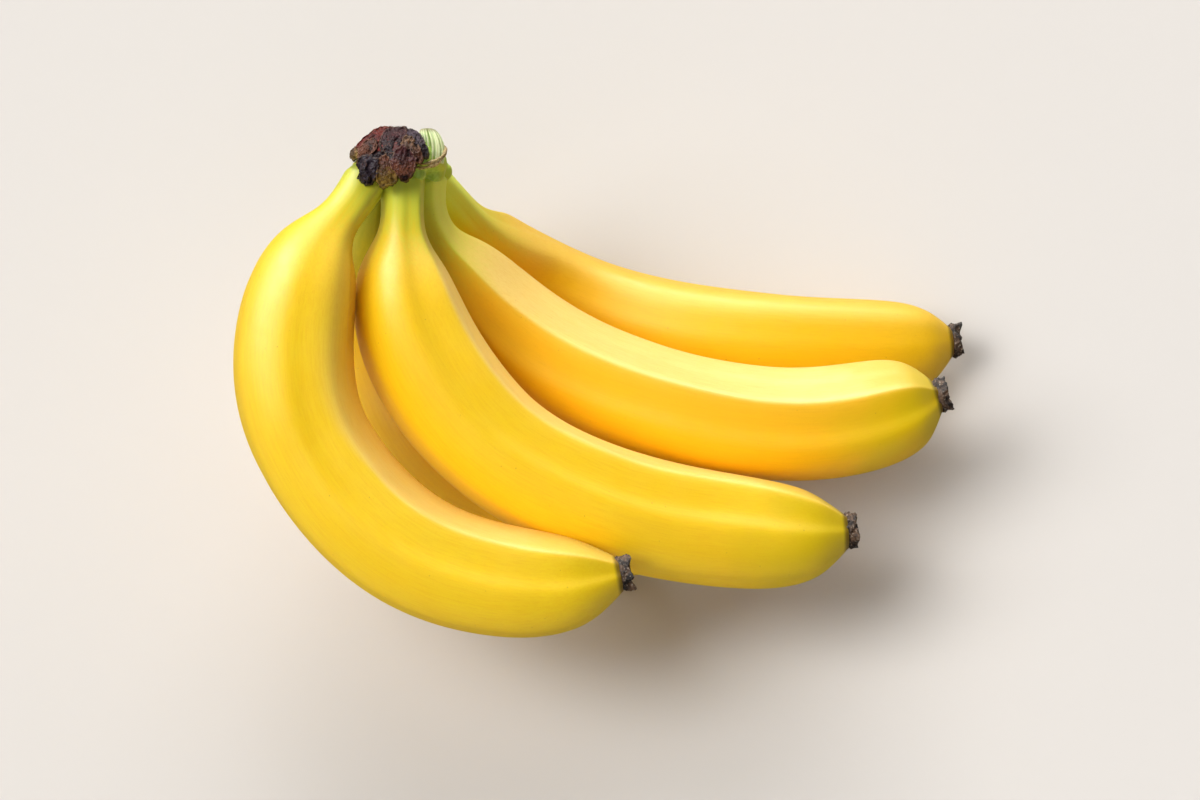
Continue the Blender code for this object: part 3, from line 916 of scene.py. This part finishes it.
class Look:
    """A material under construction. The methods named after nodes add one and return the socket it gives."""

    def __init__(self, name):
        self.material = bpy.data.materials.new(name)
        self.material.use_nodes = True
        self.tree = self.material.node_tree
        self.shader = self.tree.nodes["Principled BSDF"]

    def put(self, socket, value):
        """Link the socket to another one, or set a plain value on it."""
        if isinstance(value, bpy.types.NodeSocket):
            self.tree.links.new(value, socket)
        else:
            socket.default_value = value

    def add(self, kind, inputs, **settings):
        node = self.tree.nodes.new(kind)
        for key, value in settings.items():
            setattr(node, key, value)
        for key, value in inputs.items():
            self.put(node.inputs[key], value)
        return node

    def attribute(self, name, vector=False):
        node = self.add("ShaderNodeAttribute", {}, attribute_name=name)
        return node.outputs["Vector" if vector else "Fac"]

    def scaled(self, vector, scale):
        node = self.add("ShaderNodeMapping", {"Vector": vector, "Scale": scale})
        return node.outputs["Vector"]

    def noise(self, vector, scale, detail=3, roughness=0.55):
        node = self.add("ShaderNodeTexNoise", {
            "Vector": vector, "Scale": scale, "Detail": detail, "Roughness": roughness})
        return node.outputs["Fac"]

    def cells(self, vector, scale):
        return self.add("ShaderNodeTexVoronoi", {"Vector": vector, "Scale": scale}).outputs["Distance"]

    def span(self, value, low, high, to_low=0, to_high=1):
        node = self.add("ShaderNodeMapRange", {
            "Value": value, "From Min": low, "From Max": high, "To Min": to_low, "To Max": to_high},
            interpolation_type="SMOOTHSTEP")
        return node.outputs["Result"]

    def math(self, operation, a, b):
        return self.add("ShaderNodeMath", {0: a, 1: b}, operation=operation).outputs["Value"]

    def times(self, a, b):
        return self.math("MULTIPLY", a, b)

    def plus(self, a, b):
        return self.math("ADD", a, b)

    def mix(self, share, *colours):
        """The second colour over the first, each being a socket or a picture colour."""
        a, b = (linear(*colour) if isinstance(colour, tuple) else colour for colour in colours)
        return self.add("ShaderNodeMix", {0: share, 6: a, 7: b}, data_type="RGBA").outputs[2]

    def bump(self, height, distance, strength, normal=None):
        inputs = {"Height": height, "Distance": distance, "Strength": strength}
        if normal is not None:
            inputs["Normal"] = normal
        return self.add("ShaderNodeBump", inputs).outputs["Normal"]

    def finish(self, **inputs):
        for key, value in inputs.items():
            self.put(self.shader.inputs[key.replace("_", " ")], value)
        return self.material


def ripe_yellow(look, blotch, streak, fibre, crest):
    """Yellow with faint streaks and fibres, paler on the hollow side, partly its own colour and partly a
    painted highlight, and with a painted highlight line along the crests.
    """
    colour = look.mix(look.span(blotch, 0.35, 0.65), (251, 207, 24), (252, 212, 28))
    colour = look.mix(look.attribute("orange"), colour, (248, 187, 6))
    colour = look.mix(look.span(streak, 0.3, 0.75, 0, 0.3), colour, (246, 194, 6))
    # Pale hollow side: partly the peel's own paler colour, partly a painted highlight
    colour = look.mix(look.times(look.attribute("pale"), 0.85), colour, (254, 218, 124))
    # Painted highlight: a paler line along the crisp crests
    colour = look.mix(look.times(crest, 0.25), colour, (254, 216, 90))
    return look.mix(look.span(fibre, 0.42, 0.7, 0, 0.22), colour, (234, 172, 6))


def greened(look, colour, blotch, streak, crest, from_crown, from_tip):
    """Olive at the tip, and green at the neck, drawn out along the crests and deeper on the crown, with
    painted shade on one neck and painted light on others.
    """
    edge = look.plus(from_tip, look.span(blotch, 0.3, 0.7, -9, 9))
    edge = look.plus(edge, look.times(crest, 10))
    share = look.times(look.span(edge, 40, 2), look.attribute("olive"))
    colour = look.mix(share, colour, (212, 188, 0))
    green = look.attribute("green")
    # Painted light and shade on the neck, per finger: a low value darkens it, a high one lightens it
    tone = look.attribute("tone")
    lighter = look.span(tone, 0, 0.5)
    edge = look.plus(from_crown, look.span(streak, 0.25, 0.75, -2.5, 2.5))
    edge = look.math("SUBTRACT", edge, look.times(crest, 5))
    edge = look.math("DIVIDE", edge, look.attribute("green_reach"))
    # Painted shade at 0 (dark olive), and painted light above 0.5 (paler green), in the neck colours
    outer = look.mix(lighter, (176, 164, 6), (220, 214, 58))
    colour = look.mix(look.times(look.span(edge, 1, 0.3, 0, 0.8), green), colour, outer)
    inner = look.mix(lighter, (132, 138, 8), (182, 200, 62))
    inner = look.mix(look.span(tone, 0.5, 1), inner, (228, 238, 88))
    colour = look.mix(look.times(look.span(edge, 0.62, 0), green), colour, inner)
    deep = look.mix(look.span(streak, 0.3, 0.7), (128, 176, 70), (178, 214, 110))
    return look.mix(look.span(from_crown, 1, -3, 0, 0.7), colour, deep)


def peel():
    """Banana peel, with freckles, scuffs and pores, and a brown line round the dry flower."""
    look = Look("peel")
    grain = look.attribute("grain", vector=True)
    from_crown = look.attribute("from_crown")
    from_tip = look.attribute("from_tip")
    crest = look.attribute("crest")
    blotch = look.noise(grain, 0.035, 2)
    streak = look.noise(look.scaled(grain, (0.9, 0.9, 0.04)), 1, 4)
    fibre = look.noise(look.scaled(grain, (2.2, 2.2, 0.12)), 1, 3)
    where = look.span(look.noise(grain, 0.12, 2), 0.56, 0.68)
    freckle = look.times(look.span(look.cells(grain, 0.42), 0.13, 0.06), where)
    pores = look.noise(grain, 1.6, 3, 0.6)
    colour = ripe_yellow(look, blotch, streak, fibre, crest)
    colour = greened(look, colour, blotch, streak, crest, from_crown, from_tip)
    colour = look.mix(look.times(freckle, 0.4), colour, (160, 104, 24))
    scuff = look.span(look.noise(look.scaled(grain, (0.5, 0.5, 0.12)), 1, 6, 0.7), 0.71, 0.79)
    colour = look.mix(look.times(scuff, 0.3), colour, (186, 132, 36))
    colour = look.mix(look.span(from_tip, 1.6, 0.1, 0, 0.8), colour, (92, 66, 22))
    colour = look.mix(look.span(pores, 0.5, 0.7, 0, 0.1), colour, (226, 164, 10))
    normal = look.bump(fibre, 0.00010, 0.3)
    normal = look.bump(pores, 0.00008, 0.25, normal)
    normal = look.bump(freckle, 0.0001, 0.4, normal)
    roughness = look.span(look.noise(grain, 0.22, 4), 0.3, 0.7, 0.42, 0.5)
    return look.finish(
        Base_Color=colour, Roughness=roughness, Normal=normal, Subsurface_Weight=0.1,
        Subsurface_Radius=(1, 0.5, 0.05), Subsurface_Scale=0.003, Specular_IOR_Level=0.42)


def stalk():
    """The cut stub: pale green, with painted shade making its grooves darker green, browned at its top."""
    look = Look("stub_green")
    grain = look.attribute("grain", vector=True)
    parts = look.add("ShaderNodeSeparateXYZ", {0: grain})
    fine = look.noise(look.scaled(grain, (1.4, 1.4, 0.12)), 1, 4)
    # Painted shade: darker green in the grooves, pale green on the ridges between them
    groove = look.span(parts.outputs["Y"], -0.4, 0.45)
    colour = look.mix(groove, (140, 170, 84), (228, 238, 184))
    colour = look.mix(look.span(fine, 0.45, 0.75, 0, 0.55), colour, (222, 224, 150))
    edge = look.plus(parts.outputs["Z"], look.span(fine, 0.2, 0.8, -0.8, 0.8))
    colour = look.mix(look.span(edge, 9.8, 12, 0, 0.8), colour, (120, 104, 66))
    return look.finish(
        Base_Color=colour, Roughness=0.5, Normal=look.bump(fine, 0.0003, 0.5), Subsurface_Weight=0.08,
        Subsurface_Radius=(0.6, 1, 0.2), Subsurface_Scale=0.002, IOR=1.42)


def crust():
    """Dried cut: each lobe's own brown, with painted shade blackening the creases, torn borders and
    undersides, lighter on the wrinkles' tops where that shade is least, and paler torn lips.
    """
    look = Look("dried_crust")
    grain = look.attribute("grain", vector=True)
    crease_shade = look.attribute("crease_shade")
    tint = look.attribute("tint", vector=True)
    broad = look.noise(grain, 0.22, 3)
    fine = look.noise(grain, 1.1, 6, 0.7)
    colour = look.mix(look.span(broad, 0.55, 0.4, 0, 0.6), tint, (38, 20, 24))
    colour = look.mix(look.span(broad, 0.58, 0.7, 0, 0.5), colour, (128, 78, 48))
    colour = look.mix(look.span(fine, 0.57, 0.76, 0, 0.5), colour, (192, 130, 112))
    colour = look.mix(look.span(fine, 0.48, 0.3, 0, 0.85), colour, (14, 8, 11))
    # Painted shade: blackened creases, torn borders and undersides
    colour = look.mix(look.span(crease_shade, 0.35, 1, 0, 0.9), colour, (10, 6, 8))
    lip = look.times(look.span(look.attribute("edge"), 0.35, 0.95), look.span(fine, 0.4, 0.62))
    colour = look.mix(look.times(lip, 0.32), colour, (172, 140, 104))
    normal = look.bump(fine, 0.0006, 0.8)
    normal = look.bump(look.noise(grain, 3.5, 4), 0.0002, 0.5, normal)
    normal = look.bump(look.noise(grain, 0.5, 3), 0.0012, 0.8, normal)
    roughness = look.span(fine, 0.3, 0.7, 0.35, 0.65)
    return look.finish(Base_Color=colour, Roughness=roughness, Normal=normal, Specular_IOR_Level=0.25)


def dry_rim():
    """Thin dry skin, light brown."""
    look = Look("dry_rim")
    fine = look.noise(look.attribute("grain", vector=True), 0.9, 4)
    colour = look.mix(look.span(fine, 0.35, 0.65), (138, 106, 60), (214, 192, 136))
    return look.finish(Base_Color=colour, Roughness=0.7, Normal=look.bump(fine, 0.0002, 0.5))


def dry_flower():
    """Ashy grey-black remains of the flower, with brown flecks."""
    look = Look("dry_flower")
    grain = look.attribute("grain", vector=True)
    broad = look.noise(grain, 0.3, 3)
    fine = look.noise(grain, 1.3, 6, 0.7)
    colour = look.mix(look.span(broad, 0.4, 0.6), (36, 28, 25), (98, 74, 56))
    colour = look.mix(look.span(fine, 0.55, 0.7, 0, 0.85), colour, (206, 194, 176))
    colour = look.mix(look.span(fine, 0.48, 0.34, 0, 0.9), colour, (14, 10, 11))
    return look.finish(Base_Color=colour, Roughness=0.8, Normal=look.bump(fine, 0.0006, 0.8))


# Stage

def floor():
    """A plain pale floor, which glossy reflection doesn't see."""
    points = [(-6, -6, 0), (6, -6, 0), (6, 6, 0), (-6, 6, 0)]
    obj = add_mesh("floor", points, [(0, 1, 2, 3)])
    colour = linear(212, 208, 205)
    obj.data.materials.append(
        Look("pale_floor").finish(Base_Color=colour, Roughness=0.9, Specular_IOR_Level=0.1))
    obj.visible_glossy = False


def soft_light(name, azimuth, elevation, width, strength, colour, diffuse=True, glossy=True):
    """A wide soft light far off, its azimuth counted in degrees from the picture's right towards its top."""
    data = bpy.data.lights.new(name, "SUN")
    data.energy = strength
    data.angle = math.radians(width)
    data.color = colour
    obj = bpy.data.objects.new(name, data)
    bpy.context.scene.collection.objects.link(obj)
    turn = math.radians(azimuth)
    rise = math.radians(elevation)
    way = Vector((math.cos(turn) * math.cos(rise), math.sin(turn) * math.cos(rise), math.sin(rise)))
    obj.location = way * 2.0
    obj.visible_diffuse = diffuse
    obj.visible_glossy = glossy
    obj.rotation_euler = way.to_track_quat("Z", "Y").to_euler()


def lights():
    world = bpy.data.worlds.new("studio")
    bpy.context.scene.world = world
    world.use_nodes = True
    sky = world.node_tree.nodes["Background"]
    sky.inputs["Color"].default_value = (1.0, 0.985, 0.96, 1.0)
    sky.inputs["Strength"].default_value = 0.07
    for light in LIGHTS:
        soft_light(*light)


def camera():
    data = bpy.data.cameras.new("camera")
    data.lens = LENS
    data.sensor_width = 36.0
    data.clip_start = 0.05
    data.clip_end = 20.0
    obj = bpy.data.objects.new("camera", data)
    bpy.context.scene.collection.objects.link(obj)
    obj.location = Vector(to_world([EYE])[0])
    obj.rotation_euler = (math.radians(90 + LEAN_DEGREES), 0, 0)
    bpy.context.scene.camera = obj


def dress(obj, material, slot, *nodes):
    obj.data.materials.append(material)
    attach(obj, "root")
    if nodes:
        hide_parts(*nodes)


def main():
    skin = peel()
    dry = dry_flower()
    for number, (name, form) in enumerate(FINGERS.items(), 1):
        dress(finger(number, f"{name}_peel", form), skin, "peel", name)
        dress(blossom_end(number, form["path"]), dry, "dry_blossom", f"blossom_end_{number}")
    dress(crown(), skin, "green_stalk", "crown")
    dress(stub(), stalk(), "green_stalk")
    dress(scab(), crust(), "dried_cut", "crown_scar")
    ring = dry_rim()
    dress(rim("stub_rim_lower", 0.58, -0.5, 1), ring, "dried_cut")
    dress(rim("stub_rim_upper", 0.48, 0.7, 2), ring, "dried_cut")
    floor()
    lights()
    camera()
    bpy.context.scene.view_settings.view_transform = "Standard"
    bpy.context.scene.view_settings.look = "None"


main()
